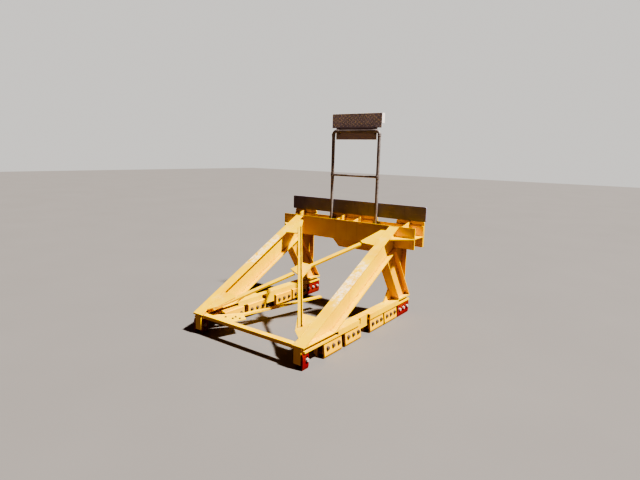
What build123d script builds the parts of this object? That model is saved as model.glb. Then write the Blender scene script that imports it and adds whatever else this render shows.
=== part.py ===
from build123d import *
from math import atan2, cos, sin, tan
import os

# Railway buffer stop that grips the rails: two raked struts and two raked legs carry
# a buffer beam over a pair of skids, and jaws under the skids clamp the rail heads.
# X runs across the track, +Y towards the trains, Z up. Heights are above the rail top
# and distances along the track are from the rear tips of the struts.

# Track
track_gauge = 1435
rail_head_width = 72
grip_depth = 46

# Rolled section of the struts and legs
section_depth = 256
section_width = 127
section_flange = 12
section_web = 8

# Buffer beam, an H section lying on its side
beam_length = 2074
beam_rear = 1885
beam_depth = 262
beam_bottom = 905
beam_height = 266
beam_flange = 18
beam_web = 11
stiffener_thickness = 12
inner_stiffener_x = 132
outer_stiffener_inset = 185

# Front plates and the board on them
front_plate_thickness = 15
front_plate_rise = 160
centre_plate_drop = 160
centre_plate_width = 730
side_plate_width = 390
side_plate_overhang = 3
plate_corner = 120
board_overhang = 27
board_rise = 58
board_height = 187
board_thickness = 27
board_corner = 18

# Struts and their plates. Outlines run inwards from the strut's inner edge, and up
# the rake from the tip or, at the head, from the rear of the beam.
tip_height = 192
end_plate_overhang = 1
end_plate_width = 92
end_plate_thickness = 20
end_plate_bottom = 3
corner_plate_points = ((0, 0), (22, 0), (7, 98), (107, 172), (220, 380), (190, 411), (0, 411))
head_gusset_points = ((0, -425), (174, -412), (217, -379), (70, -104), (0, -104))
gusset_thickness = 12
knee_drop = 136
knee_thickness = 12
knee_inset = 7

# Skids
skid_flange = 20
skid_bottom = 129
skid_top = 195
skid_web = 10
skid_top_flange = 9
skid_wall = 10
skid_wall_share = 0.259
skid_wall_gap = 80
block_share = 0.48
block_length_share = 0.0673
block_bottom = 52
block_outer = 26
foot_plate_thickness = 12
foot_rib = 12
foot_heel = 15
foot_toe = 7
foot_gusset_inset = 16
foot_gusset_length = 198
foot_gusset_height = 211

# Legs
leg_set_back = 144
leg_rise = 1.5

# Clamps and claws. Outlines run outwards from the rail's centre and up from the rail
# top, and places along the skid are shares of its length.
rail_clearance = 2
jaw_share = 0.1402
jaw_start_shares = (0.1557, 0.3261, 0.5574, 0.7097)
jaw_seat = 30
jaw_step = 4
outer_jaw_face = ((47, 129), (47, 112), (60, -8), (60, -20), (50, -42))
inner_jaw_face = ((64, 129), (83, 122), (83, -6), (70, -24), (50, -42))
claw_face = ((45, 129), (54, 95), (54, -14), (46, -46))
lip_reach = 8
lip_top = -36
head_underside = -30
claw_length = 98
front_claw_share = 0.1363
slot_width = 26
slot_low = 14
slot_high = 96
slot_pitch_share = 0.0449
shoe_length = 54

# Ties and braces. Ends are (distance inwards from the strut's edge, distance up the
# rake), and the outline of the plate where they cross runs from the crossing.
tie_depth = 75
tie_height = 38
tie_thickness = 8
angle_width = 56
angle_lip = 22
angle_thickness = 6
long_brace_foot = (82, 236)
long_brace_head = (136, -274)
short_brace_foot = (53, 150)
short_brace_head = (146, -334)
short_brace_gap = (0.509, 0.570)
brace_plate_points = ((-37, 138), (84, 130), (135, 88), (144, -117), (-108, -12))
level_plate_points = ((-55, 100), (98, 238), (243, 438), (427, 304), (390, 197))
level_plate_reach = 335
level_plate_thickness = 8
level_brace_tail = (211, 250)
level_brace_tip = (534, 1610)

# Sign on its frame of tubes
post_diameter = 42
post_spacing = 718
post_offset = 8
bend_radius = 50
frame_height = 2350
post_pad = 58
post_pad_thickness = 8
saddle_width = 110
saddle_height = 76
saddle_thickness = 12
cross_rail_drop = 593
cross_rail_diameter = 27
collar_length = 44
collar_wall = 5
sign_width = 774
sign_rise = 229
sign_height = 187
sign_lower_width = 640
sign_lower_height = 154
sign_thickness = 3
sign_box_height = 129
sign_box_depth = 60

# Derived places
rail_x = track_gauge / 2 + rail_head_width / 2
rail_top = grip_depth
beam_top = beam_bottom + beam_height
beam_mid = beam_bottom + beam_height / 2
beam_front = beam_rear + beam_depth
beam_end = beam_length / 2
front_face = beam_front + front_plate_thickness
rake = atan2(beam_top - tip_height, beam_rear)
rake_length = beam_rear / cos(rake)
under_flange = section_flange / cos(rake)
strut_rise = section_depth / cos(rake)
skid_flange_top = skid_bottom + skid_flange
foot_height = skid_top + foot_plate_thickness
half_section = section_width / 2
flange_edge = rail_x - half_section
leg_angle = atan2(leg_rise, 1)
leg_rear = beam_front - leg_set_back
leg_front = leg_rear + section_depth / sin(leg_angle)
foot_rear = leg_rear - foot_heel
base_length = leg_front + foot_toe
skid_wall_start = skid_wall_share * base_length
mid_length = base_length / 2
block_rear = block_share * base_length
block_front = block_rear + block_length_share * base_length
jaw_length = jaw_share * base_length
jaw_starts = [share * base_length for share in jaw_start_shares]
front_claw_length = front_claw_share * base_length
head_face = rail_head_width / 2 + rail_clearance
knee_height = beam_top - knee_drop
saddle_rear = beam_front - beam_flange - saddle_thickness
post_y = saddle_rear - post_diameter / 2
web_top = beam_mid + beam_web / 2


def along(distance):
    """Y in the part frame of a distance from the rear tips."""
    return distance - mid_length


def height(above_rail):
    """Z in the part frame of a height above the rail top."""
    return rail_top + above_rail


def side_point(distance, above_rail):
    """A point of a side view, on a plane that looks across the track."""
    return (along(distance), height(above_rail))


def strut_top_at(distance):
    """Height of a strut's top face above the rail at a distance from its tip."""
    return tip_height + distance * tan(rake)


def leg_at(face, above_rail):
    """Distance from the tips of a leg's rear or front face at a height."""
    return face - (above_rail - foot_height) / leg_rise


def rake_plane(drop=0):
    """Plane on the struts' top faces: local x across, local y up the rake."""
    normal = Vector(0, -sin(rake), cos(rake))
    origin = Vector(0, along(0), height(tip_height)) - normal * drop
    return Plane(origin=origin, x_dir=(1, 0, 0), z_dir=normal)


def export(piece, name):
    piece.part.label = name
    export_step(piece.part, f"parts/{name}.step")
    made.append(name)


def face_of(points):
    """A straight-sided face through points, in the sketch that is open."""
    Polygon(*points, align=None)


def section_sketch(depth, width, flange, web):
    """An I section with its first flange on local y 0 and its depth towards +y."""
    with Locations((0, depth / 2)):
        Rectangle(width, depth)
        for x in (-1, 1):
            with Locations((x * (width + web) / 4, 0)):
                Rectangle((width - web) / 2, depth - 2 * flange, mode=Mode.SUBTRACT)


os.makedirs("parts", exist_ok=True)
made = []
sides = {"left": -1, "right": 1}

# Buffer beam: web level, flanges upright at the rear and the front
with BuildPart() as beam:
    right_end = Plane(
        origin=(beam_end, along(beam_rear), height(beam_mid)),
        x_dir=(0, 0, 1),
        z_dir=(-1, 0, 0),
    )
    with BuildSketch(right_end):
        section_sketch(beam_depth, beam_height, beam_flange, beam_web)
    extrude(amount=beam_length)
export(beam, "buffer_beam")

# Stiffener plates between the beam's flanges, over and under its web
with BuildPart() as stiffeners:
    stiffener_length = beam_depth - 2 * beam_flange
    stiffener_tall = (beam_height - beam_web) / 2
    outer_stiffener_x = beam_end - outer_stiffener_inset
    for x in (-outer_stiffener_x, -inner_stiffener_x, inner_stiffener_x, outer_stiffener_x):
        for up in (-1, 1):
            centre = beam_mid + up * (beam_height + beam_web) / 4
            with Locations((x, along(beam_rear + beam_depth / 2), height(centre))):
                Box(stiffener_thickness, stiffener_length, stiffener_tall)
export(stiffeners, "beam_stiffeners")


def front_plate(name, x, width, bottom, lower_corners):
    """A plate on the beam's front, with its corners cut off at 45 degrees."""
    with BuildPart() as plate:
        tall = beam_top + front_plate_rise - bottom
        with BuildSketch(Plane.XZ.offset(-along(front_face))):
            with Locations((x, height(bottom + tall / 2))):
                Rectangle(width, tall)
        extrude(amount=front_plate_thickness)
        corners = plate.edges().filter_by(Axis.Y).group_by(Axis.Z)
        chamfer(corners[0] + corners[-1] if lower_corners else corners[-1], plate_corner)
    export(plate, name)


front_plate("front_plate_centre", 0, centre_plate_width, beam_bottom - centre_plate_drop, True)
side_plate_x = beam_end + side_plate_overhang - side_plate_width / 2
for side, sign in sides.items():
    front_plate(f"front_plate_{side}", sign * side_plate_x, side_plate_width, beam_bottom, False)

# Board across the rear faces of the front plates
with BuildPart() as board:
    with BuildSketch(Plane.XZ.offset(-along(beam_front))):
        with Locations((0, height(beam_top + board_rise + board_height / 2))):
            RectangleRounded(beam_length + 2 * board_overhang, board_height, board_corner)
    extrude(amount=board_thickness)
export(board, "buffer_board")

# Struts: cut upright at the beam and at the rear tip, level on the skid's top
for side, sign in sides.items():
    with BuildPart() as strut:
        start = Plane(
            origin=(sign * rail_x, along(0), height(tip_height)),
            x_dir=(1, 0, 0),
            z_dir=(0, cos(rake), sin(rake)),
        )
        with BuildSketch(start.offset(-section_depth)):
            section_sketch(section_depth, section_width, section_flange, section_web)
        extrude(amount=rake_length + 2 * section_depth)
        split(bisect_by=Plane.XZ.offset(-along(beam_rear)), keep=Keep.TOP)
        split(bisect_by=Plane.XZ.offset(-along(0)), keep=Keep.BOTTOM)
        # Room for the skid, and for the end plate under the top flange
        with BuildSketch(Plane.YZ.offset(sign * rail_x)):
            plate_front = end_plate_thickness
            face_of((
                side_point(-plate_front, strut_top_at(-plate_front) - under_flange),
                side_point(plate_front, strut_top_at(plate_front) - under_flange),
                side_point(plate_front, skid_top),
                side_point(beam_rear, skid_top),
                side_point(beam_rear, -strut_rise),
                side_point(-plate_front, -strut_rise),
            ))
        extrude(amount=section_width, both=True, mode=Mode.SUBTRACT)
    export(strut, f"strut_{side}")

# End plates under the strut tips, offset inwards over the rail heads
with BuildPart() as end_plates:
    end_plate_x = flange_edge - end_plate_overhang + end_plate_width / 2
    for sign in sides.values():
        with BuildSketch(Plane.YZ.offset(sign * end_plate_x)):
            face_of((
                side_point(0, end_plate_bottom),
                side_point(end_plate_thickness, end_plate_bottom),
                side_point(end_plate_thickness, strut_top_at(end_plate_thickness) - under_flange),
                side_point(0, strut_top_at(0) - under_flange),
            ))
        extrude(amount=end_plate_width / 2, both=True)
export(end_plates, "end_plates")


def raked_plates(name, outline, start):
    """A mirrored pair of plates inside the struts, flush with their top faces."""
    with BuildPart() as plates:
        for sign in sides.values():
            with BuildSketch(rake_plane()):
                face_of([(sign * (flange_edge - x), start + s) for x, s in outline])
            extrude(amount=-section_flange)
    export(plates, name)


# Plates for the ends of the braces, at the feet and just under the beam
raked_plates("corner_plates", corner_plate_points, 0)
raked_plates("head_gussets", head_gusset_points, rake_length)

# Level knee plates outside the struts, under the ends of the beam
with BuildPart() as knees:
    knee_start = (knee_height + knee_thickness / 2 + under_flange - tip_height) / tan(rake)
    knee_outer = beam_end - knee_inset
    for sign in sides.values():
        with BuildSketch(Plane.XY.offset(height(knee_height - knee_thickness / 2))):
            face_of((
                (sign * (rail_x + section_web / 2), along(knee_start)),
                (sign * (rail_x + half_section), along(knee_start)),
                (sign * knee_outer, along(beam_rear - section_flange)),
                (sign * knee_outer, along(beam_rear)),
                (sign * (rail_x + section_web / 2), along(beam_rear)),
            ))
        extrude(amount=knee_thickness)
export(knees, "knee_plates")

# Skids: two level flanges on a web, with walls at their sides except near the rear tip
# and under the leg, broken by the block at mid length
for side, sign in sides.items():
    with BuildPart() as skid:
        lengths = (
            (end_plate_thickness, block_rear - skid_wall_gap, skid_wall_start, block_rear - skid_wall_gap),
            (block_front, base_length, block_front, foot_rear + foot_rib),
        )
        for start, end, wall_start, wall_end in lengths:
            middle = along((start + end) / 2)
            for bottom, thickness in ((skid_bottom, skid_flange), (skid_top - skid_top_flange, skid_top_flange)):
                with Locations((sign * rail_x, middle, height(bottom + thickness / 2))):
                    Box(section_width, end - start, thickness)
            for edge in (-1, 1):
                wall = (
                    sign * rail_x + edge * (half_section - skid_wall / 2),
                    along((wall_start + wall_end) / 2),
                    height((skid_flange_top + skid_top) / 2),
                )
                with Locations(wall):
                    Box(skid_wall, wall_end - wall_start, skid_top - skid_flange_top)
        for start, end in ((end_plate_thickness, block_rear), (block_front, base_length)):
            with Locations((sign * rail_x, along((start + end) / 2), height((skid_bottom + skid_top) / 2))):
                Box(skid_web, end - start, skid_top - skid_bottom)
        # The top flange is as wide as the block where it meets it
        narrow_width = half_section + block_outer
        with Locations((
            sign * (flange_edge + narrow_width / 2),
            along(block_rear - skid_wall_gap / 2),
            height(skid_top - skid_top_flange / 2),
        )):
            Box(narrow_width, skid_wall_gap, skid_top_flange)
    export(skid, f"skid_{side}")

# Blocks that join the two lengths of each skid and stand lower than its flange
with BuildPart() as blocks:
    block_width = half_section + block_outer
    for sign in sides.values():
        centre = (
            sign * (flange_edge + block_width / 2),
            along((block_rear + block_front) / 2),
            height((block_bottom + skid_top) / 2),
        )
        with Locations(centre):
            Box(block_width, block_front - block_rear, skid_top - block_bottom)
export(blocks, "skid_blocks")

# Foot plates on the skids, under the legs
with BuildPart() as foot_plates:
    for sign in sides.values():
        centre = (
            sign * rail_x,
            along((foot_rear + base_length) / 2),
            height(skid_top + foot_plate_thickness / 2),
        )
        with Locations(centre):
            Box(section_width, base_length - foot_rear, foot_plate_thickness)
export(foot_plates, "foot_plates")

# Legs: the same section as the struts, raked back against them
for side, sign in sides.items():
    with BuildPart() as leg:
        foot = Plane(
            origin=(sign * rail_x, along(leg_rear), height(foot_height)),
            x_dir=(1, 0, 0),
            z_dir=(0, -cos(leg_angle), sin(leg_angle)),
        )
        with BuildSketch(foot.offset(-section_depth)):
            section_sketch(section_depth, section_width, section_flange, section_web)
        extrude(amount=beam_bottom + 2 * section_depth)
        split(bisect_by=Plane.XY.offset(height(foot_height)), keep=Keep.TOP)
        split(bisect_by=rake_plane(section_depth), keep=Keep.BOTTOM)
    export(leg, f"leg_{side}")

# Brackets that carry the beam's front flange on the legs: a web and a front flange
bracket_low = foot_height + (leg_front - beam_front) * leg_rise
flange_low = bracket_low + section_flange * leg_rise
bracket_rear_low = bracket_low + beam_depth * leg_rise
with BuildPart() as brackets:
    flange_rear = beam_front - section_flange
    for sign in sides.values():
        with BuildSketch(Plane.YZ.offset(sign * rail_x)):
            face_of((
                side_point(beam_rear, bracket_rear_low),
                side_point(beam_rear, beam_bottom),
                side_point(flange_rear, beam_bottom),
                side_point(flange_rear, flange_low),
            ))
        extrude(amount=section_web / 2, both=True)
        with BuildSketch(Plane.YZ.offset(sign * rail_x)):
            face_of((
                side_point(flange_rear, flange_low),
                side_point(flange_rear, beam_bottom),
                side_point(beam_front, beam_bottom),
                side_point(beam_front, bracket_low),
            ))
        extrude(amount=half_section, both=True)
export(brackets, "leg_brackets")

# Foot gussets behind the legs, near the inner edges of the skids
with BuildPart() as foot_gussets:
    apex_height = skid_flange_top + foot_gusset_height
    for sign in sides.values():
        with BuildSketch(Plane.YZ.offset(sign * (flange_edge + foot_gusset_inset))):
            face_of((
                side_point(foot_rear - foot_gusset_length, skid_top),
                side_point(leg_at(leg_rear, apex_height), apex_height),
                side_point(leg_rear, foot_height),
                side_point(foot_rear, foot_height),
                side_point(foot_rear, skid_top),
            ))
        extrude(amount=gusset_thickness / 2, both=True)
export(foot_gussets, "foot_gussets")

# Inner outlines: a jaw's seat steps out round the rail head, a claw is plain
hook = (
    (head_face - lip_reach, lip_top),
    (head_face, head_underside),
)
jaw_inside = (*hook, (head_face, jaw_step), (jaw_seat, jaw_step), (jaw_seat, skid_bottom))
claw_inside = (*hook, (head_face, skid_bottom))


def gripper(sign, outward, face, inside):
    """Outline of a jaw or claw on one side of a rail head, hooked under it."""
    toe = (head_face - lip_reach, face[-1][1])
    outline = (*face, toe, *inside)
    return [(sign * rail_x + outward * u, height(h)) for u, h in outline]


# Clamp jaws under the skids: slim leaning jaws outside, deep upright ones inside
for side, sign in sides.items():
    with BuildPart() as jaws:
        for start in jaw_starts:
            with BuildSketch(Plane.XZ.offset(-along(start + jaw_length))):
                face_of(gripper(sign, sign, outer_jaw_face, jaw_inside))
                face_of(gripper(sign, -sign, inner_jaw_face, jaw_inside))
            extrude(amount=jaw_length)
    export(jaws, f"clamp_jaws_{side}")

# Claws at both ends of each skid, with upright slots for their bolts
front_start = base_length - front_claw_length
slot_pitch = slot_pitch_share * base_length
front_slots = [base_length - front_claw_length / 2 + i * slot_pitch for i in (-1, 0, 1)]
slot_tall = slot_high - slot_low
for side, sign in sides.items():
    for name, outer_start, inner_start, length, slots in (
        ("rear", 0, end_plate_thickness, claw_length, [end_plate_thickness + claw_length / 2]),
        ("front", front_start, front_start, front_claw_length, front_slots),
    ):
        with BuildPart() as claws:
            for outward, start in ((sign, outer_start), (-sign, inner_start)):
                with BuildSketch(Plane.XZ.offset(-along(start + length))):
                    face_of(gripper(sign, outward, claw_face, claw_inside))
                extrude(amount=length)
            with BuildSketch(Plane.YZ.offset(sign * rail_x)):
                for slot in slots:
                    with Locations(side_point(slot, (slot_low + slot_high) / 2)):
                        SlotOverall(slot_tall, slot_width, rotation=90)
            extrude(amount=section_width, both=True, mode=Mode.SUBTRACT)
        export(claws, f"{name}_claws_{side}")

# Shoes between the jaws and claws, from the skid flanges down to the rail heads
with BuildPart() as shoes:
    spans = [(start, start + jaw_length, 2 * jaw_seat) for start in jaw_starts]
    spans.append((end_plate_thickness, end_plate_thickness + shoe_length, 2 * head_face))
    spans.append((front_start, base_length, 2 * head_face))
    for sign in sides.values():
        for start, end, width in spans:
            with Locations((sign * rail_x, along((start + end) / 2), height(skid_bottom / 2))):
                Box(width, end - start, skid_bottom)
export(shoes, "clamp_shoes")

# Angle across the rear, between the struts
with BuildPart() as tie:
    tie_reach = flange_edge
    tie_rear = end_plate_thickness
    tie_top = skid_flange_top + tie_height
    with BuildSketch(Plane.YZ.offset(-tie_reach)):
        face_of((
            side_point(tie_rear, skid_flange_top),
            side_point(tie_rear, tie_top),
            side_point(tie_rear + tie_depth, tie_top),
            side_point(tie_rear + tie_depth, tie_top - tie_thickness),
            side_point(tie_rear + tie_thickness, tie_top - tie_thickness),
            side_point(tie_rear + tie_thickness, skid_flange_top),
        ))
    extrude(amount=2 * tie_reach)
export(tie, "rear_tie")


def angle_bar(name, plane, start, end, lip_up):
    """An angle lying on a plane between two points, its lip on the right going up it."""
    tail = plane.from_local_coords(Vector(*start))
    tip = plane.from_local_coords(Vector(*end))
    run = tip - tail
    with BuildPart() as bar:
        with BuildSketch(Plane(origin=tail, x_dir=plane.z_dir.cross(run), z_dir=run)):
            half = angle_width / 2
            lip = lip_up * angle_lip
            thick = lip_up * angle_thickness
            face_of((
                (half, 0),
                (-half, 0),
                (-half, lip),
                (-half + angle_thickness, lip),
                (-half + angle_thickness, thick),
                (half, thick),
            ))
        extrude(amount=run.length)
    export(bar, name)


def inboard(sign, point, start=0):
    """A point of the rake plane from its distance inside a strut's edge."""
    return (sign * (flange_edge - point[0]), start + point[1])


def part_way(start, end, share):
    """The point at a share of the way from start to end."""
    return tuple(a + share * (b - a) for a, b in zip(start, end))


# Crossed braces: the long one lies on the plates, the short ones hang under them
long_foot = inboard(1, long_brace_foot)
long_head = inboard(-1, long_brace_head, rake_length)
short_foot = inboard(-1, short_brace_foot)
short_head = inboard(1, short_brace_head, rake_length)
gap_start, gap_end = [part_way(short_foot, short_head, share) for share in short_brace_gap]
angle_bar("brace_long", rake_plane(), long_foot, long_head, 1)
angle_bar("brace_lower", rake_plane(section_flange), short_foot, gap_start, -1)
angle_bar("brace_upper", rake_plane(section_flange), gap_end, short_head, -1)

# Plate where the braces cross
with BuildPart() as brace_plate:
    crossing = (gap_start[1] + gap_end[1]) / 2
    with BuildSketch(rake_plane()):
        face_of([(x, crossing + s) for x, s in brace_plate_points])
    extrude(amount=-section_flange)
export(brace_plate, "brace_plate")

# Level plate in the rear left corner, and the level angle that hangs from it
with BuildPart() as level_plate:
    plate_rear = tie_rear + tie_thickness
    with BuildSketch(Plane.XY.offset(height(skid_flange_top))):
        rear_corners = ((level_plate_reach, plate_rear), (level_plate_points[0][0], plate_rear))
        face_of([(x - flange_edge, along(y)) for x, y in (*level_plate_points, *rear_corners)])
    extrude(amount=level_plate_thickness)
export(level_plate, "level_plate")
level_plane = Plane(origin=(0, along(0), height(skid_flange_top)))
level_tail, level_tip = inboard(-1, level_brace_tail), inboard(-1, level_brace_tip)
angle_bar("level_brace", level_plane, level_tail, level_tip, -1)

# Posts of the sign, standing on the beam's web in its upper pocket
bend_centre = frame_height - bend_radius - rail_clearance
post_x = {side: post_offset + sign * post_spacing / 2 for side, sign in sides.items()}
with BuildPart() as post_saddles:
    for x in post_x.values():
        saddle_middle = saddle_rear + saddle_thickness / 2
        with Locations((x, along(saddle_middle), height(beam_top - saddle_height / 2))):
            Box(saddle_width, saddle_thickness, saddle_height)
export(post_saddles, "post_saddles")
for side, x in post_x.items():
    with BuildPart() as post:
        place = (x, along(post_y))
        with BuildSketch(Plane.XY.offset(height(web_top))):
            with Locations(place):
                Rectangle(post_pad, post_pad)
        extrude(amount=post_pad_thickness)
        with BuildSketch(Plane.XY.offset(height(web_top + post_pad_thickness))):
            with Locations(place):
                Circle(post_diameter / 2)
        extrude(amount=bend_centre - web_top - post_pad_thickness)
    export(post, f"sign_post_{side}")

# Bent tube across the top of the posts
with BuildPart() as top_tube:
    with BuildLine() as path:
        FilletPolyline(
            (post_x["left"], along(post_y), height(bend_centre)),
            (post_x["left"], along(post_y), height(frame_height)),
            (post_x["right"], along(post_y), height(frame_height)),
            (post_x["right"], along(post_y), height(bend_centre)),
            radius=bend_radius,
        )
    with BuildSketch(Plane.XY.offset(height(bend_centre))):
        with Locations((post_x["left"], along(post_y))):
            Circle(post_diameter / 2)
    sweep(path=path.line)
export(top_tube, "sign_top_tube")

# Cross rail between the posts, and the collars that hold it
with BuildPart() as cross_rail:
    rail_height = frame_height - cross_rail_drop
    rail_length = post_spacing - post_diameter - 2 * collar_wall
    with BuildSketch(Plane.YZ.offset(post_offset - rail_length / 2)):
        with Locations(side_point(post_y, rail_height)):
            Circle(cross_rail_diameter / 2)
    extrude(amount=rail_length)
export(cross_rail, "sign_cross_rail")
with BuildPart() as collars:
    with BuildSketch(Plane.XY.offset(height(rail_height - collar_length / 2))):
        with Locations(*[(x, along(post_y)) for x in post_x.values()]):
            Circle(post_diameter / 2 + collar_wall)
            Circle(post_diameter / 2, mode=Mode.SUBTRACT)
    extrude(amount=collar_length)
export(collars, "rail_collars")

# Sign panel in front of the tubes, wider above, with a shallow box on its face
panel_rear = post_y + post_diameter / 2
panel_front = panel_rear + sign_thickness
sign_top = frame_height + sign_rise
with BuildPart() as panel:
    with BuildSketch(Plane.XZ.offset(-along(panel_front))):
        with Locations((0, height(sign_top - sign_height / 2))):
            Rectangle(sign_width, sign_height)
        with Locations((0, height(sign_top - sign_height - sign_lower_height / 2))):
            Rectangle(sign_lower_width, sign_lower_height)
    extrude(amount=sign_thickness)
export(panel, "sign_panel")
with BuildPart() as box:
    box_centre = (0, along(panel_front + sign_box_depth / 2), height(sign_top - sign_box_height / 2))
    with Locations(box_centre):
        Box(sign_width, sign_box_depth, sign_box_height)
export(box, "sign_box")

print(len(made), "nodes")
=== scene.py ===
import bpy
import numpy as np
from math import atan2, cos, pi, radians, sin, tan
from mathutils import Matrix, Vector


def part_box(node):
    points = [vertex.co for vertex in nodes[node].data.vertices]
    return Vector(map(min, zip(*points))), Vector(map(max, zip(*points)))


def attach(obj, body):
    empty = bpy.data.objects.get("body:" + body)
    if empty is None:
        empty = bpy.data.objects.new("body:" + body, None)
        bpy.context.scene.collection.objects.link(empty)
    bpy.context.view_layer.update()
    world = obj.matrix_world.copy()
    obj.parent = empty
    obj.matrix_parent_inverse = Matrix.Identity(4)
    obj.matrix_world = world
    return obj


# Railway buffer stop: finishes for every piece, and its bolts, nuts, welds and sheet
# pattern. Metres, X across the track, +Y towards the trains, Z up.
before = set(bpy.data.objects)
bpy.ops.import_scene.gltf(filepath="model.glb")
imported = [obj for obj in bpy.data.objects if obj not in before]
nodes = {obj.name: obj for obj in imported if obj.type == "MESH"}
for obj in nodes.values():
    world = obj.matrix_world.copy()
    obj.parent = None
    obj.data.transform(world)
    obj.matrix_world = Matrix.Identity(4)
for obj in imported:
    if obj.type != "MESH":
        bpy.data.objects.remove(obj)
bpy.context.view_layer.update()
left_right = (("left", -1), ("right", 1))
right_way, rear_way, front_way = (1, 0, 0), (0, -1, 0), (0, 1, 0)
up_way, down_way = (0, 0, 1), (0, 0, -1)

# Places read from the frame
beam_low, beam_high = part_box("buffer_beam")
skid_low, skid_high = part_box("skid_right")
foot_low, foot_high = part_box("foot_plates")
knee_low, knee_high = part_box("knee_plates")
centre_low, centre_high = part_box("front_plate_centre")
panel_low, panel_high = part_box("sign_panel")
case_low, case_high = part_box("sign_box")
tube_low, tube_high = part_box("sign_top_tube")
collar_low, collar_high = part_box("rail_collars")
rail_x = (skid_low.x + skid_high.x) / 2
rail_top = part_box("clamp_shoes")[0].z
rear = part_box("strut_right")[0].y
front = skid_high.y
base_length = front - rear
half_section = (skid_high.x - skid_low.x) / 2
upper_sheet_height = 0.187
sheet_step = panel_high.z - upper_sheet_height

# Rake of the struts, whose top faces meet the beam's rear top edge
tip_above_rail = 0.192
tip_height = rail_top + tip_above_rail
rake = atan2(beam_high.z - tip_height, beam_low.y - rear)

# Camera
photo_width = 640
focal_pixels = 473.4257
sensor_width = 36
camera_place = Vector((3.4502, -4.5595, 2.1003))
camera_yaw = radians(35.9876)
camera_pitch = radians(10.4406)
camera_roll = radians(1.3520)

# Light
sun_way = Vector((1, 0.2, 1.42)).normalized()
sun_strength = 9
sun_angle = radians(4)
fill_tone = (1, 0.52, 0.46, 1)
fill_light = 0.1
surround_tone = (1, 0.97, 0.93, 1)
surround_light = 0.62

# Floor
floor_size = 80
floor_light = (0.178, 0.162, 0.145, 1)
floor_lighter = (0.196, 0.18, 0.162, 1)
floor_bounce = (0.085, 0.048, 0.042, 1)


def srgb(red, green, blue):
    """A linear colour from the three numbers of a screen colour, 0 to 255."""
    screen = np.array((red, green, blue)) / 255
    linear = np.where(screen <= 0.04045, screen / 12.92, ((screen + 0.055) / 1.055) ** 2.4)
    return (*(float(x) for x in linear), 1)


def make_camera():
    """The photograph's view: pan to the left of +Y, tilt down, then roll."""
    forward = Vector((
        -sin(camera_yaw) * cos(camera_pitch),
        cos(camera_yaw) * cos(camera_pitch),
        -sin(camera_pitch),
    ))
    level_right = forward.cross(Vector((0, 0, 1))).normalized()
    level_up = level_right.cross(forward)
    right = level_right * cos(camera_roll) + level_up * sin(camera_roll)
    up = level_up * cos(camera_roll) - level_right * sin(camera_roll)
    data = bpy.data.cameras.new("camera")
    data.sensor_width = sensor_width
    data.lens = focal_pixels / photo_width * sensor_width
    camera = bpy.data.objects.new("camera", data)
    turn = Matrix((right, up, -forward)).transposed().to_4x4()
    camera.matrix_world = Matrix.Translation(camera_place) @ turn
    bpy.context.scene.collection.objects.link(camera)
    bpy.context.scene.camera = camera


def make_light():
    """A light a few degrees wide where the sun stands, a low warm fill from all round,
    and a pale plain surround that only the camera sees."""
    data = bpy.data.lights.new("key", "SUN")
    data.energy = sun_strength
    data.angle = sun_angle
    key = bpy.data.objects.new("key", data)
    key.matrix_world = sun_way.to_track_quat("Z", "Y").to_matrix().to_4x4()
    bpy.context.scene.collection.objects.link(key)
    world = bpy.data.worlds.new("surround")
    world.use_nodes = True
    tree = world.node_tree
    fill = tree.nodes["Background"]
    fill.inputs["Color"].default_value = fill_tone
    fill.inputs["Strength"].default_value = fill_light
    seen = tree.nodes.new("ShaderNodeBackground")
    seen.inputs["Color"].default_value = surround_tone
    seen.inputs["Strength"].default_value = surround_light
    path = tree.nodes.new("ShaderNodeLightPath")
    mix = tree.nodes.new("ShaderNodeMixShader")
    tree.links.new(path.outputs["Is Camera Ray"], mix.inputs[0])
    tree.links.new(fill.outputs[0], mix.inputs[1])
    tree.links.new(seen.outputs[0], mix.inputs[2])
    tree.links.new(mix.outputs[0], tree.nodes["World Output"].inputs["Surface"])
    bpy.context.scene.world = world
    bpy.context.scene.view_settings.view_transform = "AgX"
    bpy.context.scene.view_settings.look = "AgX - High Contrast"


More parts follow.
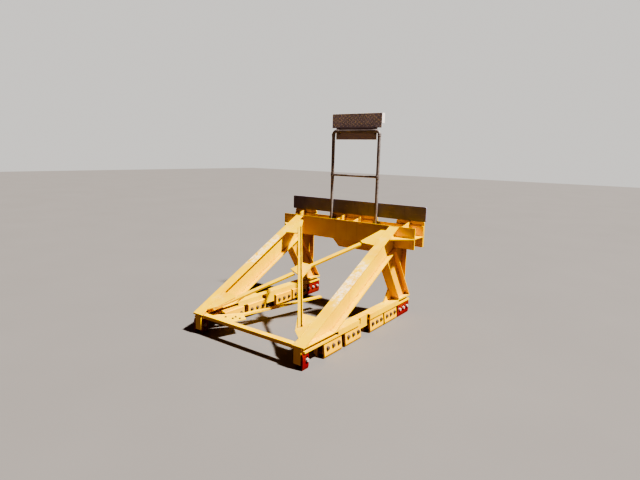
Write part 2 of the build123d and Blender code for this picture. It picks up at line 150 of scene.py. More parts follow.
class Finish:
    """One material, with short calls for the nodes that the finishes share."""

    def __init__(self, name):
        self.material = bpy.data.materials.new(name)
        self.material.use_nodes = True
        self.tree = self.material.node_tree
        self.shader = self.tree.nodes["Principled BSDF"]
        self.place = self.node("TexCoord", {}).outputs["Object"]
        self.normal = self.node("NewGeometry", {}).outputs["Normal"]

    def node(self, kind, values, **settings):
        """A new node. Its values are numbers, colours or another node's socket."""
        made = self.tree.nodes.new("ShaderNode" + kind)
        for key, value in settings.items():
            setattr(made, key, value)
        for socket, value in values.items():
            self.put(made.inputs[socket], value)
        return made

    def put(self, socket, value):
        """Sets a socket to a value, or links another node's socket to it."""
        if isinstance(value, bpy.types.NodeSocket):
            self.tree.links.new(value, socket)
        else:
            socket.default_value = value

    def sum(self, kind, first, second=0.0):
        """One or two numbers put through a Math node, kept from 0 to 1."""
        return self.node("Math", {0: first, 1: second}, operation=kind, use_clamp=True).outputs[0]

    def noise(self, scale, detail=4.0, stretch=(1, 1, 1), rough=0.55):
        """Cloudy noise from 0 to 1, drawn out along an axis where its stretch is low."""
        mapped = self.node("Mapping", {"Vector": self.place, "Scale": stretch}).outputs[0]
        values = {"Vector": mapped, "Scale": scale, "Detail": detail, "Roughness": rough}
        return self.node("TexNoise", values).outputs[0]

    def step(self, value, low, high, start=0.0, end=1.0):
        """A smooth step of a value between two levels."""
        values = {0: value, 1: low, 2: high, 3: start, 4: end}
        return self.node("MapRange", values, interpolation_type="SMOOTHSTEP").outputs[0]

    def blend(self, share, first, second):
        """A share of the second colour over the first."""
        mixed = self.node("Mix", {0: share}, data_type="RGBA")
        self.put(mixed.inputs[6], first)
        self.put(mixed.inputs[7], second)
        return mixed.outputs[2]

    def edges(self, radius):
        """1 on sharp edges, 0 on flat stretches: how far a rounded normal turns away."""
        rounded = self.node("Bevel", {"Radius": radius}, samples=4).outputs[0]
        dot = self.node("VectorMath", {0: rounded, 1: self.normal}, operation="DOT_PRODUCT")
        return self.step(dot.outputs["Value"], 0.995, 0.93)

    def corners(self, reach):
        """0 in inner corners and under other pieces, 1 in the open."""
        return self.node("AmbientOcclusion", {"Distance": reach}, samples=6).outputs["AO"]

    def facing(self, axis):
        """The surface normal's share along an axis."""
        return self.node("SeparateXYZ", {0: self.normal}).outputs[axis]

    def along(self, axis):
        """The place along an axis."""
        return self.node("SeparateXYZ", {0: self.place}).outputs[axis]

    def band(self, axis, low, high, soft, wander=0.0):
        """1 between two places along an axis, with soft ends that noise moves about."""
        place = self.along(axis)
        if wander:
            shift = {0: self.noise(9, 5), 1: 0.5}
            drift = self.node("Math", shift, operation="SUBTRACT").outputs[0]
            moved = {0: drift, 1: 2 * wander, 2: place}
            place = self.node("Math", moved, operation="MULTIPLY_ADD").outputs[0]
        past_low = self.step(place, low - soft, low + soft)
        before_high = self.step(place, high + soft, high - soft)
        return self.sum("MULTIPLY", past_low, before_high)

    def on_rake(self):
        """1 on the struts' top faces, falling to 0 between 30 and 60 mm under them."""
        rise = {0: self.along(1), 1: -tan(rake), 2: self.along(2)}
        level = self.node("Math", rise, operation="MULTIPLY_ADD").outputs[0]
        top = tip_height - rear * tan(rake)
        return self.step(level, top - 0.06, top - 0.03)

    def bump(self, height, distance, strength=0.6):
        """Bump from a height, put on the shader over slightly rounded edges."""
        rounded = self.node("Bevel", {"Radius": 0.0015}, samples=4).outputs[0]
        values = {"Height": height, "Distance": distance, "Strength": strength, "Normal": rounded}
        self.put(self.shader.inputs["Normal"], self.node("Bump", values).outputs[0])


# Tones and shine that the finishes share
paint_shine = 0.25
rust_dark = srgb(70, 33, 15)
rust_light = srgb(142, 74, 33)
rust_shadow = srgb(38, 18, 10)
chalk_and_top_light_tone = srgb(250, 224, 150)
ochre_tone = srgb(214, 122, 10)
bare_tone = srgb(252, 230, 196)
rain_tone = srgb(150, 84, 30)
halo_tone = srgb(190, 110, 40)
grime_and_shade_tone = srgb(92, 50, 20)
spangle_tone = srgb(222, 216, 208)
zinc_corner_shade = srgb(58, 46, 38)


def painted(name, tone, deep, faded=(), chips=0.5, chalk_and_top_light=0.3, runs=0.25):
    """Old paint on steel: tone varies in clouds, upward faces are paled in clouds by chalking and
    partly by a painted top light, edges and chips show rust, inner corners and places under other
    pieces get painted shade broken up like grime, and faded stretches, each a side of the stop and a
    start and end along it, are rubbed nearly white on the struts' top faces."""
    paint = Finish(name)
    clouds = paint.noise(2.3, 5)
    fine = paint.noise(38, 6, rough=0.65)
    colour = paint.blend(paint.step(clouds, 0.35, 0.7), tone, deep)
    # Upward faces are paled in clouds towards a pale tone: chalked paint, and partly a painted top
    # light
    skyward = paint.step(paint.facing(2), 0.2, 0.9)
    chalk_and_top_light_share = paint.sum("MULTIPLY", paint.step(paint.noise(9, 6), 0.4, 0.75), skyward)
    colour = paint.blend(paint.sum("MULTIPLY", chalk_and_top_light_share, chalk_and_top_light), colour, chalk_and_top_light_tone)
    mottle = paint.step(paint.noise(5, 4, (1, 0.5, 1)), 0.35, 0.75)
    colour = paint.blend(paint.sum("MULTIPLY", mottle, 0.16), colour, ochre_tone)
    for side, start, end in faded:
        flat = paint.sum("MULTIPLY", paint.step(paint.facing(2), 0.8, 0.86), paint.on_rake())
        low, high = sorted((0, side))
        stretch = paint.band(1, start, end, 0.06, 0.12)
        spot = paint.sum("MULTIPLY", stretch, paint.band(0, low, high, 0.01))
        torn = paint.step(paint.noise(21, 9, rough=0.78), 0.42, 0.6)
        patch = paint.sum("MULTIPLY", paint.sum("MULTIPLY", spot, torn), flat)
        colour = paint.blend(paint.sum("MULTIPLY", patch, 0.85), colour, bare_tone)
    streaks = paint.step(paint.noise(14, 3, (1, 1, 0.12)), 0.56, 0.8)
    upright = paint.sum("SUBTRACT", 1.0, paint.sum("ABSOLUTE", paint.facing(2)))
    rain = paint.sum("MULTIPLY", streaks, upright)
    colour = paint.blend(paint.sum("MULTIPLY", rain, runs), colour, rain_tone)
    # Painted shade in inner corners and under other pieces, broken up by fine noise like grime
    corner_shade = paint.step(paint.corners(0.05), 0.8, 0.25)
    grime_and_shade = paint.sum("MULTIPLY", corner_shade, paint.step(fine, 0.3, 0.6))
    colour = paint.blend(paint.sum("MULTIPLY", grime_and_shade, 0.6), colour, grime_and_shade_tone)
    ragged = paint.sum("ADD", fine, paint.sum("MULTIPLY", paint.edges(0.004), 0.3))
    bare = paint.step(ragged, 0.78, 0.84)
    specks = paint.step(paint.noise(70, 3), 0.72, 0.76)
    chipped = paint.sum("MAXIMUM", bare, paint.sum("MULTIPLY", specks, chips))
    halo = paint.step(ragged, 0.7, 0.8)
    colour = paint.blend(paint.sum("MULTIPLY", halo, 0.3), colour, halo_tone)
    rust = paint.blend(paint.step(fine, 0.4, 0.65), rust_dark, rust_light)
    colour = paint.blend(paint.sum("MULTIPLY", chipped, chips + 0.4), colour, rust)
    paint.put(paint.shader.inputs["Base Color"], colour)
    paint.shader.inputs["Specular IOR Level"].default_value = paint_shine
    worn = paint.sum("MULTIPLY", chipped, 0.35)
    rough = paint.sum("ADD", paint.step(clouds, 0.3, 0.7, 0.38, 0.55), worn)
    paint.put(paint.shader.inputs["Roughness"], rough)
    pits = paint.sum("MULTIPLY", chipped, 0.5)
    paint.bump(paint.sum("SUBTRACT", paint.sum("MULTIPLY", fine, 0.35), pits), 0.0012)
    return paint.material


def rusty_iron(name):
    """Bare iron with scaled rust, darker in its corners."""
    iron = Finish(name)
    scale = iron.noise(22, 8, rough=0.7)
    colour = iron.blend(iron.step(scale, 0.35, 0.65), rust_dark, rust_light)
    colour = iron.blend(iron.step(iron.corners(0.04), 0.8, 0.3), colour, rust_shadow)
    iron.put(iron.shader.inputs["Base Color"], colour)
    iron.put(iron.shader.inputs["Roughness"], iron.step(scale, 0.3, 0.7, 0.7, 0.95))
    iron.bump(scale, 0.0025)
    return iron.material


def coated_board(name):
    """Dark rubbery coating, greyed in clouds, with scuffs along its length, runs down it
    and paler rubbed edges."""
    board = Finish(name)
    clouds = board.noise(3, 5)
    grain = board.noise(60, 5, (0.25, 1, 1))
    colour = board.blend(board.step(clouds, 0.3, 0.7), srgb(124, 120, 132), srgb(146, 142, 154))
    scuffs = board.step(board.noise(30, 2, (0.2, 1, 1.6)), 0.62, 0.74)
    colour = board.blend(board.sum("MULTIPLY", scuffs, 0.35), colour, srgb(196, 172, 156))
    runs = board.step(board.noise(24, 3, (1, 1, 0.1)), 0.55, 0.75)
    colour = board.blend(board.sum("MULTIPLY", runs, 0.35), colour, srgb(84, 76, 92))
    rubbed = board.sum("MULTIPLY", board.edges(0.006), board.step(grain, 0.35, 0.6))
    colour = board.blend(board.sum("MULTIPLY", rubbed, 0.6), colour, srgb(190, 164, 146))
    board.put(board.shader.inputs["Base Color"], colour)
    board.put(board.shader.inputs["Roughness"], board.step(grain, 0.3, 0.7, 0.62, 0.82))
    board.bump(grain, 0.001)
    return board.material


def zinc(name, light, dark, metallic, spangle=60, low_tone=None):
    """Weathered hot-dip zinc: small spangles, dull clouds, a few rust specks and painted shade in its
    corners. With a low tone, the sheet is toned towards it under its step."""
    coat = Finish(name)
    cells = coat.node("TexVoronoi", {"Vector": coat.place, "Scale": spangle}).outputs["Color"]
    tint = coat.node("SeparateColor", {0: cells}).outputs[0]
    clouds = coat.noise(7, 5)
    colour = coat.blend(coat.step(clouds, 0.3, 0.7), dark, light)
    colour = coat.blend(coat.sum("MULTIPLY", tint, 0.14), colour, spangle_tone)
    if low_tone:
        # Under the sheet's step the colour is toned darker, towards the low tone
        sheet_toning = coat.step(coat.along(2), sheet_step + 0.01, sheet_step - 0.02)
        colour = coat.blend(coat.sum("MULTIPLY", sheet_toning, 0.75), colour, low_tone)
    specks = coat.step(coat.noise(85, 4), 0.72, 0.78)
    colour = coat.blend(coat.sum("MULTIPLY", specks, 0.6), colour, rust_light)
    # Painted shade in inner corners and under other pieces
    corner_shade = coat.step(coat.corners(0.03), 0.75, 0.3)
    colour = coat.blend(coat.sum("MULTIPLY", corner_shade, 0.5), colour, zinc_corner_shade)
    coat.put(coat.shader.inputs["Base Color"], colour)
    coat.shader.inputs["Metallic"].default_value = metallic
    coat.put(coat.shader.inputs["Roughness"], coat.step(tint, 0, 1, 0.42, 0.6))
    coat.bump(coat.sum("MULTIPLY", clouds, tint), 0.0006)
    return coat.material


def skin(mesh_name, shape, material):
    """A mesh object at the origin from a shape, creased at its sharp edges."""
    points, quads, triangles = shape
    mesh = bpy.data.meshes.new(mesh_name)
    mesh.from_pydata(points.tolist(), [], quads.tolist() + triangles.tolist())
    mesh.validate()
    mesh.shade_smooth()
    mesh.set_sharp_from_angle(angle=radians(35))
    mesh.materials.append(material)
    piece = bpy.data.objects.new(mesh_name, mesh)
    bpy.context.scene.collection.objects.link(piece)
    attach(piece, "root")


def sleeve(rows, columns):
    """Faces between rows of points that each close into a ring."""
    i = np.arange(columns)
    j = (i + 1) % columns
    band = np.arange(rows - 1)[:, None] * columns
    corners = (band + i, band + j, band + columns + j, band + columns + i)
    return np.stack(corners, 2).reshape(-1, 4)


def rod_skin(points, inward):
    """Rows of points that each close into a ring, as one closed skin: a sleeve with both
    ends filled as fans, and turned over where it would face inwards."""
    rows, columns = points.shape[:2]
    k = np.arange(1, columns - 1)
    start = np.stack((np.zeros_like(k), k + 1, k), 1)
    end = np.stack((np.zeros_like(k), k, k + 1), 1) + (rows - 1) * columns
    quads, triangles = sleeve(rows, columns), np.vstack((start, end))
    if inward:
        quads, triangles = quads[:, ::-1], triangles[:, ::-1]
    return points.reshape(-1, 3), quads, triangles


def turned(rings, sides, flats=None):
    """A closed turned solid. Ring k holds points (r cos a, r sin a, z) for its (r, z), and
    the first and last rings shrink to one pole each. With flats, the half width across
    them, r is at most the hexagon's own radius flats / cos(a'), a' within 30 degrees."""
    angles = np.arange(sides) * 2 * pi / sides
    radius = np.array([r for r, z in rings[1:-1]])[:, None] * np.ones(sides)
    if flats:
        radius = np.minimum(radius, flats / np.cos((angles + pi / 6) % (pi / 3) - pi / 6))
    level = np.array([z for r, z in rings[1:-1]])[:, None] * np.ones(sides)
    body = np.stack((radius * np.cos(angles), radius * np.sin(angles), level), 2).reshape(-1, 3)
    points = np.vstack((body, (0, 0, rings[0][1]), (0, 0, rings[-1][1])))
    first = len(body)
    i = np.arange(sides)
    j = (i + 1) % sides
    low = np.stack((np.full(sides, first), j, i), 1)
    high = np.stack((first - sides + i, first - sides + j, np.full(sides, first + 1)), 1)
    return points, sleeve(len(rings) - 2, sides), np.vstack((low, high))


def carried(profile, path, across, up):
    """A closed rod: profile points (u, v) go to path + u across + v up at every point of
    the path."""
    profile, path = np.array(profile, float), np.array(path, float)
    across, up = (np.broadcast_to(np.array(way, float), path.shape) for way in (across, up))
    sideways = profile[None, :, :1] * across[:, None]
    points = path[:, None] + sideways + profile[None, :, 1:] * up[:, None]
    u, v = profile[:, 0], profile[:, 1]
    area = (u * np.roll(v, -1) - np.roll(u, -1) * v).sum()
    return rod_skin(points, area * np.dot(np.cross(across[0], up[0]), path[-1] - path[0]) < 0)


def placed(shape, spots):
    """Copies of a shape as one mesh: its z axis along each spot's way, from its place."""
    points, quads, triangles = shape
    turns = np.array([Vector(way).to_track_quat("Z", "Y").to_matrix() for place, way in spots])
    places = np.array([tuple(place) for place, way in spots])
    moved = np.einsum("kij,nj->kni", turns, points) + places[:, None]
    starts = (np.arange(len(spots)) * len(points))[:, None, None]
    quads, triangles = (quads + starts).reshape(-1, 4), (triangles + starts).reshape(-1, 3)
    return moved.reshape(-1, 3), quads, triangles


def joined(*shapes):
    """Several shapes as one."""
    starts = np.cumsum([0] + [len(points) for points, quads, triangles in shapes])
    return (
        np.vstack([points for points, quads, triangles in shapes]),
        np.vstack([quads + start for (points, quads, triangles), start in zip(shapes, starts)]),
        np.vstack([triangles + start for (points, quads, triangles), start in zip(shapes, starts)]),
    )


def washer(outer, thick):
    """A flat washer with an eased upper rim, closed under the bolt."""
    ease = thick * 0.25
    rings = ((0, 0), (outer, 0), (outer, thick - ease), (outer - ease, thick), (0, thick))
    return turned(rings, 24)


def hex_head(flats, tall, start):
    """A hexagon head whose top corners are cut by a cone, on a height start."""
    corner = flats / cos(pi / 6)
    cut = 0.12 * flats
    rings = (
        (0, start),
        (corner, start),
        (corner, start + tall - cut),
        (flats * 0.99, start + tall),
        (0, start + tall),
    )
    return turned(rings, 24, flats)


def stud(radius, pitch, start, end):
    """A threaded end: ring radii rise and fall by a thread's depth every pitch."""
    turns = max(2, int((end - start) / pitch))
    lows = start + np.arange(turns) * (end - start) / turns
    rings = [(0, start)]
    for low in lows:
        rings += [(radius * 0.9, low), (radius, low + (end - start) / turns / 2)]
    rings += [(radius * 0.84, end), (0, end)]
    return turned(rings, 16)


def weld_places(length, leg, wave):
    """Places from 0 to 1 along a weld, four to a wave, and its share of full size there:
    1, but growing from a quarter within half a leg of each end."""
    count = max(6, int(length / wave * 4))
    s = np.linspace(0, 1, count)[:, None]
    taper = np.minimum(1, np.minimum(s, 1 - s) * length / leg * 1.5 + 0.25)
    return s, taper


def bead(corner_start, corner_end, first_way, second_way, leg=0.0075):
    """A weld bead in a corner: at s along and t across it the skin is the corner's point
    plus leg (first cos^p + second sin^p) of a quarter turn's share t, swollen every wave
    by |sin|, with ripples that lag at the middle."""
    start, end = np.array(corner_start, float), np.array(corner_end, float)
    first, second = np.array(first_way, float), np.array(second_way, float)
    length = np.linalg.norm(end - start)
    wave, power = 0.013, 1.4
    s, taper = weld_places(length, leg, wave)
    t = np.linspace(0, 1, 5)[None, :]
    phase = s * length / wave - 0.35 * np.sin(pi * t)
    size = leg * taper * (0.93 + 0.14 * np.abs(np.sin(pi * phase)))
    turn = t * pi / 2
    cross = np.cos(turn)[..., None] ** power * first + np.sin(turn)[..., None] ** power * second
    middle = start + s[..., None] * (end - start)
    root = middle - 0.1 * leg * (first + second)
    points = np.concatenate((middle + size[..., None] * cross, root), 1)
    return rod_skin(points, np.dot(np.cross(first, second), end - start) < 0)


def seam(line_start, line_end, across, up, half=0.006, rise=0.0022):
    """A butt weld on a flush joint: at u across it the skin stands rise (1 - u^2) proud,
    with ripples along it."""
    start, end = np.array(line_start, float), np.array(line_end, float)
    across, up = np.array(across, float), np.array(up, float)
    length = np.linalg.norm(end - start)
    wave = 0.012
    s, taper = weld_places(length, half, wave)
    u = np.linspace(-1, 1, 7)[None, :]
    phase = s * length / wave - 0.5 * (1 - u ** 2)
    lift = rise * taper * (1 - u ** 2) * (0.85 + 0.3 * np.abs(np.sin(pi * phase)))
    middle = start + s[..., None] * (end - start)
    outer = middle + (half * taper * u)[..., None] * across + lift[..., None] * up
    points = np.concatenate((outer, middle - 0.5 * rise * up), 1)
    return rod_skin(points, np.dot(np.cross(across, up), end - start) > 0)


def hoop(inner, outer, wide):
    """A ring about the z axis: points (r, z) of an oblong profile with eased outer rims go
    to (r cos a, r sin a, z) once round, and close on themselves."""
    ease = 0.3 * (outer - inner)
    half = wide / 2
    profile = np.array((
        (inner, -half), (outer - ease, -half), (outer, ease - half),
        (outer, half - ease), (outer - ease, half), (inner, half),
    ))
    sides = 32
    angles = np.arange(sides) * 2 * pi / sides
    radius, level = profile[:, 0][:, None], profile[:, 1][:, None]
    points = np.stack((radius * np.cos(angles), radius * np.sin(angles), level * np.ones(sides)), 2)
    i = np.arange(sides)
    j = (i + 1) % sides
    row = np.arange(len(profile))[:, None] * sides
    after = np.roll(row, -1, 0)
    quads = np.stack((row + i, row + j, after + j, after + i), 2).reshape(-1, 4)
    return points.reshape(-1, 3), quads, np.zeros((0, 3), int)


def strip(start, end, y, way, wide, tall):
    """A straight strip on a face that looks along Y, between two (x, z) places on it: wide
    across and tall from the face, with its outer corners cut."""
    half, ease = wide / 2, min(wide, tall) * 0.3
    profile = (
        (-half, 0), (half, 0), (half, tall - ease),
        (half - ease, tall), (ease - half, tall), (-half, tall - ease),
    )
    across = right_way if start[0] == end[0] else up_way
    path = [(x, y, z) for x, z in (start, end)]
    return carried(profile, path, across, (0, way, 0))


def rake_z(y):
    """Height of the struts' top faces at a place along the track."""
    return tip_height + (y - rear) * tan(rake)


make_camera()
make_light()

# Finishes
yellow = srgb(246, 204, 24)
yellow_deep = srgb(239, 189, 17)
yellow_paint = painted("yellow_paint", yellow, yellow_deep)
right_faded = (1.2, rear + 0.58, rear + 1.22)
left_faded = (-1.2, rear + 0.86, rear + 1.4)
strut_paint = painted("strut_paint", yellow, yellow_deep, faded=(right_faded, left_faded))
leg_paint = painted("leg_paint", srgb(244, 190, 24), srgb(234, 172, 18), chips=0.7, runs=0.4)
jaw_paint = painted("jaw_paint", srgb(245, 190, 22), srgb(236, 176, 14), chips=0.7, chalk_and_top_light=0.15)
red_paint = painted("red_paint", srgb(146, 24, 20), srgb(122, 18, 16), chips=0.6, chalk_and_top_light=0.1)
iron = rusty_iron("scaled_iron")
board_coat = coated_board("board_coating")
tube_zinc = zinc("tube_zinc", srgb(134, 124, 118), srgb(108, 98, 92), 0.1)
low_sheet_toning = srgb(176, 158, 146)
panel_zinc = zinc("panel_zinc", srgb(206, 216, 222), srgb(184, 194, 202), 0.05, 40, low_sheet_toning)
# A lighter copy of the sheet's zinc for its raised treads and rims: a painted highlight on the relief
highlit_tread_zinc = zinc("highlit_tread_zinc", srgb(255, 255, 250), srgb(244, 244, 240), 0.05, 40)
case_zinc = zinc("case_zinc", srgb(244, 234, 222), srgb(226, 216, 206), 0.1, 40)
bolt_zinc = zinc("bolt_zinc", srgb(204, 196, 186), srgb(164, 156, 146), 0.3, 90)
old_bolt = zinc("old_bolt", srgb(104, 84, 70), srgb(70, 50, 38), 0.4, 90)

# A node takes the finish of the first word here that its name holds, or else yellow paint
word_finishes = (
    ("strut", strut_paint),
    ("leg", leg_paint),
    ("claws", red_paint),
    ("jaws", jaw_paint),
    ("clamp_shoes", iron),
    ("buffer_board", board_coat),
    ("sign_panel", panel_zinc),
    ("sign_box", case_zinc),
    ("sign_", tube_zinc),
    ("rail_", tube_zinc),
    ("post_", tube_zinc),
)
for name, node in nodes.items():
    finish = next((finish for word, finish in word_finishes if word in name), yellow_paint)
    node.data.materials.clear()
    node.data.materials.append(finish)

# Floor, pale to the camera and dimmer in the light that it sends back
floor_finish = Finish("floor_finish")
floor_pale = floor_finish.blend(floor_finish.noise(0.6, 3), floor_light, floor_lighter)
floor_seen = floor_finish.node("LightPath", {}).outputs["Is Camera Ray"]
floor_colour = floor_finish.blend(floor_seen, floor_bounce, floor_pale)
floor_finish.put(floor_finish.shader.inputs["Base Color"], floor_colour)
floor_finish.shader.inputs["Roughness"].default_value = 0.8
half_floor = floor_size / 2
floor_corners = [(x * half_floor, y * half_floor, 0) for x, y in ((-1, -1), (1, -1), (1, 1), (-1, 1))]
floor_mesh = bpy.data.meshes.new("floor")
floor_mesh.from_pydata(floor_corners, [], [(0, 1, 2, 3)])
floor_mesh.materials.append(floor_finish.material)
floor = bpy.data.objects.new("floor", floor_mesh)
bpy.context.scene.collection.objects.link(floor)

# Bolts of the clamps: heads outside, nuts and threaded ends inside
washer_outer, washer_thick = 0.0225, 0.003
bolt_flats = 0.018
head_tall = 0.015
nut_tall = 0.014
stud_radius, thread_pitch = 0.0115, 0.0025
stud_start, stud_end = 0.015, 0.023
head = joined(washer(washer_outer, washer_thick), hex_head(bolt_flats, head_tall, washer_thick))
nut = joined(
    washer(washer_outer, washer_thick),
    hex_head(bolt_flats, nut_tall, washer_thick),
    stud(stud_radius, thread_pitch, stud_start, stud_end),
)


def cross_bolts(sign, places, height, outer, inner, lean):
    """Bolts across one rail: heads on a face outside it, that looks along (1, lean) in x
    and z, and nuts on an upright face inside it."""
    way = (sign * lean[0], 0, lean[1])
    heads = [((sign * (rail_x + outer), y, height), way) for y in places]
    nuts = [((sign * (rail_x - inner), y, height), (-sign, 0, 0)) for y in places]
    return joined(placed(head, heads), placed(nut, nuts))


jaw_length = 0.1402 * base_length
jaw_shares = (0.1557, 0.3261, 0.5574, 0.7097)
jaw_bolt_pitch = 0.102
jaw_bolt_height = rail_top + 0.057
jaw_outer_face = 0.053
jaw_inner_face = 0.083
jaw_lean = (0.994, 0.108)
jaw_bolt_places = [
    rear + share * base_length + jaw_length / 2 + i * jaw_bolt_pitch
    for share in jaw_shares
    for i in (-1, 0, 1)
]
for side, sign in left_right:
    jaw_bolts = cross_bolts(
        sign, jaw_bolt_places, jaw_bolt_height, jaw_outer_face, jaw_inner_face, jaw_lean
    )
    skin(f"jaw_bolts_{side}", jaw_bolts, old_bolt)

# Bolts in the claws' slots
claw_face = 0.054
claw_lean = (1, 0)
claw_bolt_height = rail_top + 0.052
rear_slot = 0.069
front_claw_length = 0.1363 * base_length
slot_pitch = 0.0449 * base_length
front_slots = [front - front_claw_length / 2 + i * slot_pitch for i in (-1, 0, 1)]
slots = (rear + rear_slot, *front_slots)
for side, sign in left_right:
    claw_bolts = cross_bolts(sign, slots, claw_bolt_height, claw_face, claw_face, claw_lean)
    skin(f"claw_bolts_{side}", claw_bolts, bolt_zinc)

# Small bolts of the level plate, at places across the track and past the struts' tips
small_washer, small_thick = 0.013, 0.0025
small_flats, small_tall = 0.0095, 0.008
level_bolt_places = ((-0.488, 0.199), (-0.388, 0.217), (-0.4, 0.273), (-0.326, 0.269))
small_head = joined(washer(small_washer, small_thick), hex_head(small_flats, small_tall, small_thick))
level_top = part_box("level_plate")[1].z
level_spots = [((x, rear + y, level_top), up_way) for x, y in level_bolt_places]
skin("level_plate_bolts", placed(small_head, level_spots), old_bolt)

# Raised lozenges on the rear of the sign's upper sheet
lozenge_row_step = 0.027
lozenge_rows = 6
lozenge_columns = 12
lozenge_half = (0.02, 0.0075)
lozenge_rise = 0.0026
lozenge_margin = 0.022
lozenge_dome = ((0, 0), (1, 0), (0.75, 0.45), (0.4, 0.85), (0, 1))


def tread_pattern():
    """Lozenges on a staggered grid, turned 45 degrees one way and the other in turn. Each
    is a low turned dome, drawn out along one way."""
    rings = [(radius, share * lozenge_rise) for radius, share in lozenge_dome]
    points, quads, triangles = turned(rings, 12)
    local = points * (*lozenge_half, 1)
    pitch = (panel_high.x - panel_low.x - 2 * lozenge_margin) / (lozenge_columns - 0.5)
    shapes = []
    for row in range(lozenge_rows):
        turn = pi / 4 if row % 2 else -pi / 4
        across = local[:, 0] * cos(turn) - local[:, 1] * sin(turn)
        up = local[:, 0] * sin(turn) + local[:, 1] * cos(turn)
        columns = lozenge_margin + (np.arange(lozenge_columns) + (row % 2) / 2) * pitch
        z = panel_high.z - (row + 1) * lozenge_row_step
        for x in panel_low.x + columns:
            spot = np.stack((x + across, panel_low.y - local[:, 2], z + up), 1)
            shapes.append((spot, quads, triangles))
    return joined(*shapes)


# The lozenges get the lighter zinc, a painted highlight on the raised relief
skin("panel_treads", tread_pattern(), highlit_tread_zinc)

# Folded rims of the sign's sheets, on their rear
rim_wide, rim_rise = 0.006, 0.004
lower_half = 0.32
rim_x = panel_high.x - rim_wide / 2
lower_x = lower_half - rim_wide / 2
rim_top, rim_low = panel_high.z - rim_wide / 2, panel_low.z + rim_wide / 2
rim_lines = [((-rim_x, rim_top), (rim_x, rim_top)), ((-lower_half, rim_low), (lower_half, rim_low))]
for sign in (-1, 1):
    rim_lines.append(((sign * rim_x, sheet_step), (sign * rim_x, rim_top - rim_wide)))
    rim_lines.append(((sign * lower_x, rim_low + rim_wide), (sign * lower_x, sheet_step)))
rims = [strip(start, end, panel_low.y, -1, rim_wide, rim_rise) for start, end in rim_lines]
# The rims get the lighter zinc too, a painted highlight on their folds
skin("panel_rims", joined(*rims), highlit_tread_zinc)

# Return lips round the face of the sign's box
lip_wide, lip_rise = 0.012, 0.003
lip_x = case_high.x - lip_wide / 2
lip_top, lip_low = case_high.z - lip_wide / 2, case_low.z + lip_wide / 2
lip_lines = [((-lip_x, z), (lip_x, z)) for z in (lip_low, lip_top)]
lip_lines += [((x, lip_low), (x, lip_top)) for x in (-lip_x, lip_x)]
lips = [strip(start, end, case_high.y, 1, lip_wide, lip_rise) for start, end in lip_lines]
skin("box_lips", joined(*lips), case_zinc)

# Clamps that hold the panel to the top tube, each a strap with a bolt over and under it
post_radius = 0.021
post_boxes = (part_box("sign_post_left"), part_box("sign_post_right"))
post_middle = [(low.x + high.x) / 2 for low, high in post_boxes]
frame_middle = sum(post_middle) / 2
tube_y = (tube_low.y + tube_high.y) / 2
tube_z = tube_high.z - post_radius
strap_reach = 0.281
strap_wide, strap_thick = 0.03, 0.003
strap_washer, strap_washer_thick = 0.008, 0.0015
strap_flats, strap_tall = 0.0058, 0.0055
ear_gap = 0.0005
ear_y = panel_low.y - ear_gap
ear_reach = 0.046
ear_bend = 0.004
ear_bolt = 0.036
strap_head = joined(
    washer(strap_washer, strap_washer_thick),
    hex_head(strap_flats, strap_tall, strap_washer_thick),
)


def strap(x):
    """A strap over the tube's rear: a half circle about the tube between two flat ears."""
    path = [(x, ear_y, tube_z + ear_reach), (x, ear_y, tube_z + post_radius + ear_bend)]
    up = [rear_way, rear_way]
    for angle in np.linspace(pi / 2, 3 * pi / 2, 17):
        path.append((x, tube_y + post_radius * cos(angle), tube_z + post_radius * sin(angle)))
        up.append((0, cos(angle), sin(angle)))
    path += [(x, ear_y, tube_z - post_radius - ear_bend), (x, ear_y, tube_z - ear_reach)]
    up += [rear_way, rear_way]
    half = strap_wide / 2
    profile = ((-half, 0), (half, 0), (half, strap_thick), (-half, strap_thick))
    return carried(profile, path, right_way, up)


strap_places = [frame_middle + sign * strap_reach for sign in (-1, 1)]
strap_spots = [
    ((x, panel_low.y - strap_thick, tube_z + up * ear_bolt), rear_way)
    for x in strap_places
    for up in (-1, 1)
]
skin("sign_straps", joined(*(strap(x) for x in strap_places)), tube_zinc)
skin("strap_bolts", placed(strap_head, strap_spots), bolt_zinc)

# Sleeves and set screws where the tubes are joined
bend_z = tube_low.z
collar_mid = (collar_low.z + collar_high.z) / 2
sleeve_sink, sleeve_rise = 0.0005, 0.0035
post_sleeve_wide, tube_sleeve_wide = 0.036, 0.022
sleeve_inner, sleeve_outer = post_radius - sleeve_sink, post_radius + sleeve_rise
post_sleeve = hoop(sleeve_inner, sleeve_outer, post_sleeve_wide)
tube_sleeve = hoop(sleeve_inner, sleeve_outer, tube_sleeve_wide)
tube_sleeve_inset = 0.056
screw_flats, screw_tall = 0.005, 0.006
screw = hex_head(screw_flats, screw_tall, 0)
screw_drop = 0.006
sleeve_seat = 0.003
collar_seat = 0.0045
collar_screw_offset = 0.012
sleeves, screws = [], []
for x, sign in zip(post_middle, (-1, 1)):
    sleeves.append(placed(post_sleeve, [((x, tube_y, bend_z), up_way)]))
    tube_end = (x - sign * tube_sleeve_inset, tube_y, tube_z)
    sleeves.append(placed(tube_sleeve, [(tube_end, right_way)]))
    screws.append(((x, tube_y - post_radius - sleeve_seat, bend_z - screw_drop), rear_way))
    for up in (-1, 1):
        screw_z = collar_mid + up * collar_screw_offset
        screws.append(((x, tube_y - post_radius - collar_seat, screw_z), rear_way))
skin("tube_sleeves", joined(*sleeves), tube_zinc)
skin("tube_screws", placed(screw, screws), bolt_zinc)

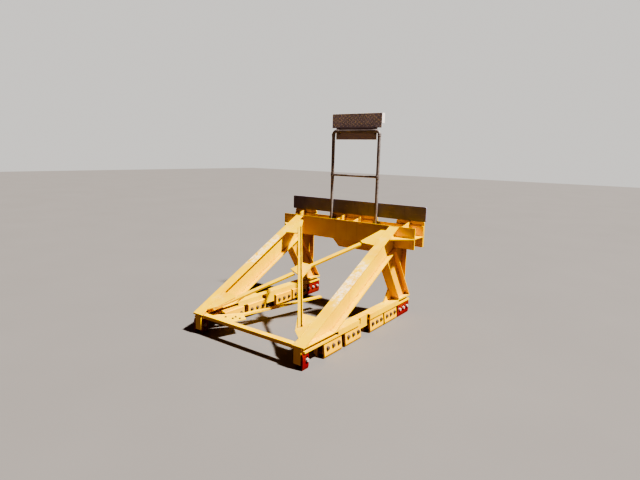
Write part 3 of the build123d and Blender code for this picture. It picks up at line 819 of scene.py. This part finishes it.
# Sizes of the welded plates and sections
half_web = 0.004
strut_flange = 0.0135
strut_depth = 0.2885
beam_flange = 0.018
half_beam_web = 0.0055
stiffener_places = (-0.852, -0.132, 0.132, 0.852)
half_stiffener = 0.006
stiffener_inset = 0.012
web_inset = 0.03
head_gap_y, head_gap_z = 0.001, 0.0005
corner_plate_inset, corner_plate_reach = 0.02, 0.411
head_gusset_reach = (0.425, 0.104)
foot_gusset_inset = 0.016
foot_gusset_length = 0.198
half_foot_gusset = 0.006
leg_inset = 0.015
leg_up = (0, -0.5547, 0.832)
block_share, block_length_share = 0.48, 0.0673
block_outer = 0.026
knee_inset = 0.007
half_centre_edge = 0.245
skid_z = skid_high.z
foot_z = foot_high.z
beam_y, beam_top = beam_high.y, beam_high.z
beam_mid = (beam_low.z + beam_high.z) / 2
pocket = (beam_low.y + beam_flange, beam_high.y - beam_flange)
up_rake = (0, cos(rake), sin(rake))
off_rake = (0, -sin(rake), cos(rake))
off_half_rake = (0, -sin(rake / 2), cos(rake / 2))

# Weld beads along both struts, skids and legs
foot_y = rear + (skid_z - tip_height + strut_depth) / tan(rake)
flange_y = foot_y - strut_flange / tan(rake)
web_top = rake_z(beam_low.y) - strut_flange
web_rear = rear + web_inset
head_y, head_z = beam_low.y - head_gap_y, beam_top - head_gap_z
plate_rear = rear + corner_plate_inset
plate_front = rear + corner_plate_reach * cos(rake)
gusset_start, gusset_end = [beam_low.y - reach * cos(rake) for reach in head_gusset_reach]
leg_y = foot_low.y + leg_inset
gusset_rear = foot_low.y - foot_gusset_length
block_rear = rear + block_share * base_length
block_front = block_rear + block_length_share * base_length
welds = []
for side, sign in left_right:
    middle = sign * rail_x
    low_x, high_x = middle - half_section, middle + half_section
    inner = sign * (rail_x - half_section)
    # Strut's web on the skid and on the beam
    for way in (-1, 1):
        x = middle + way * half_web
        web_foot = ((x, web_rear, skid_z), (x, flange_y, skid_z))
        web_head = ((x, beam_low.y, beam_low.z), (x, beam_low.y, web_top))
        welds.append(bead(*web_foot, (way, 0, 0), up_way, leg=0.006))
        welds.append(bead(*web_head, (way, 0, 0), rear_way))
    # Strut's lower flange on the skid, and its upper flange on the beam's top edge
    welds.append(bead(
        (low_x, flange_y, skid_z), (high_x, flange_y, skid_z), rear_way, up_rake, leg=0.007
    ))
    head_line = ((low_x, head_y, head_z), (high_x, head_y, head_z))
    welds.append(seam(*head_line, front_way, off_half_rake))
    # Flush plates along the strut's inner edge
    for y0, y1 in ((plate_rear, plate_front), (gusset_start, gusset_end)):
        edge_line = ((inner, y0, rake_z(y0)), (inner, y1, rake_z(y1)))
        welds.append(seam(*edge_line, right_way, off_rake))
    # Leg on the foot plate
    leg_line = ((low_x, leg_y, foot_z), (high_x, leg_y, foot_z))
    welds.append(bead(*leg_line, rear_way, leg_up, leg=0.009))
    # Foot gusset on the skid
    gusset_x = sign * (rail_x - half_section + foot_gusset_inset)
    for way in (-1, 1):
        x = gusset_x + way * half_foot_gusset
        gusset_line = ((x, gusset_rear, skid_z), (x, foot_low.y, skid_z))
        welds.append(bead(*gusset_line, (way, 0, 0), up_way))
    # Block between the two lengths of the skid
    block_x = sign * (rail_x + block_outer)
    for y in (block_rear, block_front):
        block_line = ((inner, y, skid_z), (block_x, y, skid_z))
        welds.append(seam(*block_line, front_way, up_way, half=0.005, rise=0.0018))
    # Knee plate on the strut's web and on the beam
    knee_z = knee_high.z
    web_x = middle + sign * half_web
    knee_x = sign * (beam_high.x - knee_inset)
    web_line = ((web_x, knee_low.y, knee_z), (web_x, beam_low.y, knee_z))
    beam_line = ((web_x, beam_low.y, knee_z), (knee_x, beam_low.y, knee_z))
    welds.append(bead(*web_line, (sign, 0, 0), up_way))
    welds.append(bead(*beam_line, rear_way, up_way))
    # Side plate on the beam's front flange
    plate_low, plate_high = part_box(f"front_plate_{side}")
    plate_line = ((plate_low.x, beam_y, beam_top), (plate_high.x, beam_y, beam_top))
    welds.append(bead(*plate_line, rear_way, up_way, leg=0.008))

# Weld beads of the stiffeners in the beam's pockets
for x in stiffener_places:
    for way in (-1, 1):
        face = x + way * half_stiffener
        for up in (-1, 1):
            web_z = beam_mid + up * half_beam_web
            end_z = beam_top - stiffener_inset if up > 0 else beam_low.z + stiffener_inset
            foot_line = ((face, pocket[0], web_z), (face, pocket[1], web_z))
            welds.append(bead(*foot_line, (way, 0, 0), (0, 0, up)))
            for y, inward in zip(pocket, (1, -1)):
                side_line = ((face, y, web_z), (face, y, end_z))
                welds.append(bead(*side_line, (way, 0, 0), (0, inward, 0)))

# Sloping tops of the upper stiffeners, that brace the front plates
slope_sink, slope_rise = 0.001, 0.05
slope_low = beam_top - slope_sink
slope = ((pocket[0], slope_low), (pocket[1], slope_low), (pocket[1], beam_top + slope_rise))
tips = [
    carried(slope, ((x - half_stiffener, 0, 0), (x + half_stiffener, 0, 0)), front_way, up_way)
    for x in stiffener_places
]
skin("stiffener_tips", joined(*tips), yellow_paint)

# Weld beads of the centre plate on the beam's front, above and below
upper_line = ((centre_low.x, beam_y, beam_top), (centre_high.x, beam_y, beam_top))
lower_line = ((-half_centre_edge, beam_y, beam_low.z), (half_centre_edge, beam_y, beam_low.z))
welds.append(bead(*upper_line, rear_way, up_way, leg=0.008))
welds.append(bead(*lower_line, rear_way, down_way, leg=0.008))
skin("weld_beads", joined(*welds), yellow_paint)
